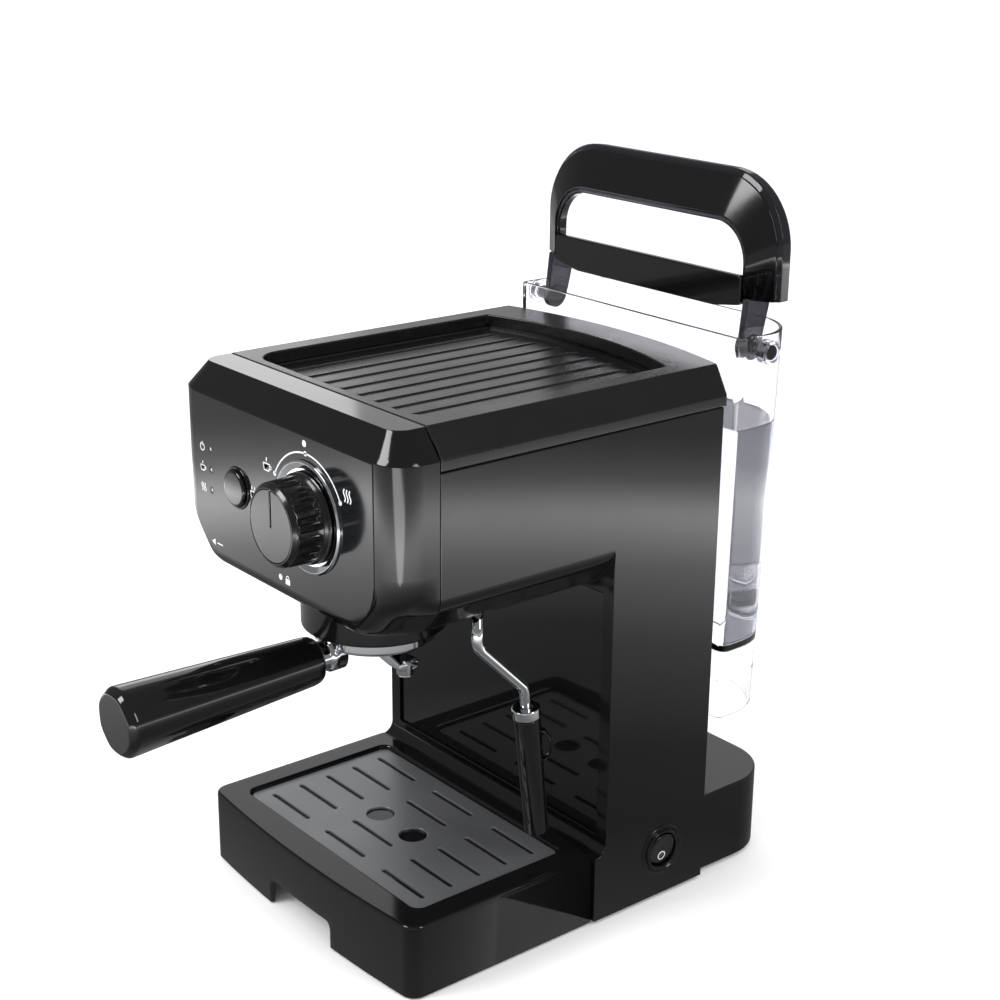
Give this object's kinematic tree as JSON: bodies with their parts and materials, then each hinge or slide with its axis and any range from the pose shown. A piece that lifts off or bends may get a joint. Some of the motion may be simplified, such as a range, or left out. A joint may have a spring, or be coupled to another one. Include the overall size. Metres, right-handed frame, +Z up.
{
  "type": "espresso machine",
  "caption": "Pump espresso machine: C-shaped casing with a control panel, brew group and portafilter, steam wand, drip tray with grate, cup warmer and lift-out water tank.",
  "frame": {"origin": "on the floor, under the middle of the outline: middle plane of the casing, half way between the end of the portafilter handle and the back of the base", "axes": "+Z up, +X to the right for someone facing the front, +Y towards the back; the front faces -Y"},
  "size_m": [0.1872, 0.3574, 0.372],
  "materials": {
    "shell_black": "semi-gloss",
    "face_gloss_black": "gloss",
    "control_black": "satin",
    "inner_plastic": "satin",
    "clear_plastic": "clear",
    "smoke_plastic": "translucent",
    "bright_metal": "polished",
    "sheet_steel": "brushed",
    "cast_alloy": "cast",
    "turned_brass": "machined",
    "soft_rubber": "matt",
    "lamp_white": "translucent"
  },
  "bodies": {
    "machine": {"side_shell": "shell_black", "splash_panel": "face_gloss_black", "front_cover": "shell_black", "control_panel": "face_gloss_black", "top_frame": "shell_black", "warming_plate": "control_black", "rear_panel": "control_black", "base": "shell_black", "tank_seal": "soft_rubber", "cord_gland": "soft_rubber", "feet": "soft_rubber", "knob_ring": "bright_metal", "steam_valve": "turned_brass", "button_bezel": "face_gloss_black", "micro_switch": "inner_plastic", "lamp_lenses": "lamp_white", "control_board": "inner_plastic", "switch_housing": "control_black", "group_head": "cast_alloy", "group_seal": "soft_rubber", "shower_screen": "sheet_steel", "wand_swivel": "turned_brass", "steam_line": "sheet_steel", "boiler": "cast_alloy", "thermostats": "inner_plastic", "pump": "inner_plastic", "pump_mounts": "soft_rubber", "suction_hose": "soft_rubber", "pressure_hose": "soft_rubber", "terminal_block": "inner_plastic", "panel_screws": "sheet_steel"},
    "drip_tray": {"drip_tray": "shell_black"},
    "drip_grate": {"drip_grate": "sheet_steel"},
    "selector": {"selector_knob": "control_black", "valve_stem": "turned_brass"},
    "button": {"brew_button": "control_black"},
    "rocker": {"power_rocker": "control_black"},
    "portafilter": {"portafilter_bowl": "bright_metal", "filter_basket": "sheet_steel", "portafilter_spout": "bright_metal", "portafilter_handle": "control_black", "portafilter_ferrule": "bright_metal"},
    "wand": {"steam_pipe": "bright_metal", "wand_collar": "bright_metal"},
    "sleeve": {"frothing_sleeve": "control_black"},
    "tank": {"tank_vessel": "clear_plastic"},
    "plunger": {"valve_plunger": "inner_plastic"},
    "handle": {"tank_handle": "control_black"}
  },
  "joints": [
    {"name": "tray_slide", "type": "slide", "parent": "machine", "child": "drip_tray", "axis": [0, -1, 0], "range_m": [0, 0.14]},
    {"name": "grate_lift", "type": "slide", "parent": "drip_tray", "child": "drip_grate", "axis": [0, 0, 1], "range_m": [0, 0.012]},
    {"name": "selector_turn", "type": "hinge", "parent": "machine", "child": "selector", "pos_m": [0.025, -0.0915, 0.2295], "axis": [0, -1, 0], "range_deg": [-62, 64]},
    {"name": "button_press", "type": "slide", "parent": "machine", "child": "button", "axis": [0, 1, 0], "range_m": [0, 0.0025], "stiffness_N_per_m": 400},
    {"name": "rocker_tip", "type": "hinge", "parent": "machine", "child": "rocker", "pos_m": [0.0915, 0.0832, 0.0281], "axis": [0, -1, 0], "range_deg": [0, 16]},
    {"name": "portafilter_turn", "type": "hinge", "parent": "machine", "child": "portafilter", "pos_m": [0, -0.0325, 0.16], "axis": [0, 0, 1], "range_deg": [-43, 3]},
    {"name": "wand_swivel", "type": "hinge", "parent": "machine", "child": "wand", "pos_m": [0.072, -0.0245, 0.19], "axis": [0, 0, 1], "range_deg": [-120, 15]},
    {"name": "sleeve_slide", "type": "slide", "parent": "wand", "child": "sleeve", "axis": [0, 0.1149, -0.9934], "range_m": [0, 0.01]},
    {"name": "tank_lift", "type": "slide", "parent": "machine", "child": "tank", "axis": [0, 0, 1], "range_m": [-0.0382, 0.06]},
    {"name": "plunger_lift", "type": "slide", "parent": "tank", "child": "plunger", "axis": [0, 0, 1], "range_m": [0, 0.003], "stiffness_N_per_m": 100},
    {"name": "handle_fold", "type": "hinge", "parent": "tank", "child": "handle", "pos_m": [0, 0.1475, 0.285], "axis": [-1, 0, 0], "range_deg": [0, 34]}
  ]
}
